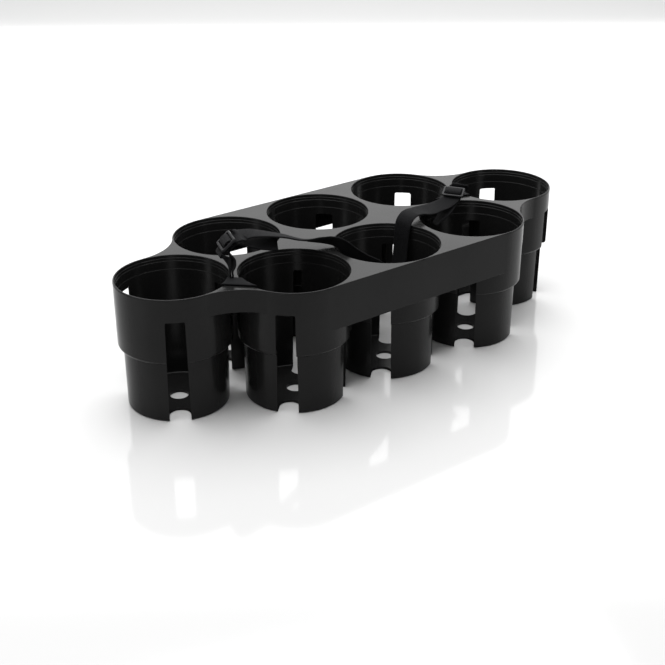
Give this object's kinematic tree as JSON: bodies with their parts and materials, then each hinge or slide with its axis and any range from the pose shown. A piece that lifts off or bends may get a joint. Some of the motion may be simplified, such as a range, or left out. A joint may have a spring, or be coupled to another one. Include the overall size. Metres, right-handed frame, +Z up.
{
  "type": "bottle carrier",
  "caption": "Moulded tray of hanging open-windowed cups joined by a flat deck, with a webbing carry strap anchored at both ends and adjusted by slide buckles.",
  "frame": {"origin": "under the middle of the tray, on the plane that the cup bases stand on", "axes": "+X along the deck towards the end cup on the right, +Y towards the back row, +Z up out of the cups"},
  "size_m": [0.4, 0.1676, 0.126],
  "materials": {
    "tray_plastic": "satin moulded black plastic",
    "webbing": "flat woven charcoal webbing",
    "buckle_plastic": "smooth moulded black plastic"
  },
  "bodies": {
    "tray": {"end_cup_left": "tray_plastic", "front_cup_left": "tray_plastic", "front_cup_middle": "tray_plastic", "front_cup_right": "tray_plastic", "back_cup_left": "tray_plastic", "back_cup_middle": "tray_plastic", "back_cup_right": "tray_plastic", "end_cup_right": "tray_plastic", "strap_wrap_left": "webbing", "strap_wrap_right": "webbing", "strap_rise_left": "webbing", "strap_rise_right": "webbing", "strap_tail_left": "webbing", "strap_tail_right": "webbing", "strap_run_left": "webbing", "strap_run_right": "webbing"},
    "strap_middle": {"strap_dip": "webbing"},
    "left_buckle": {"buckle_left": "buckle_plastic", "strap_fold_left": "webbing"},
    "right_buckle": {"buckle_right": "buckle_plastic", "strap_fold_right": "webbing"}
  },
  "joints": [
    {"name": "strap_lift", "type": "slide", "parent": "tray", "child": "strap_middle", "axis": [0, 0, 1], "range_m": [0, 0.14], "deforming": ["strap_run_left", "strap_run_right"]},
    {"name": "buckle_left_slide", "type": "slide", "parent": "tray", "child": "left_buckle", "axis": [0.6863, -0.2527, 0.682], "range_m": [0, 0.006]},
    {"name": "buckle_right_slide", "type": "slide", "parent": "tray", "child": "right_buckle", "axis": [-0.7787, -0.57, -0.2622], "range_m": [0, 0.006]}
  ]
}
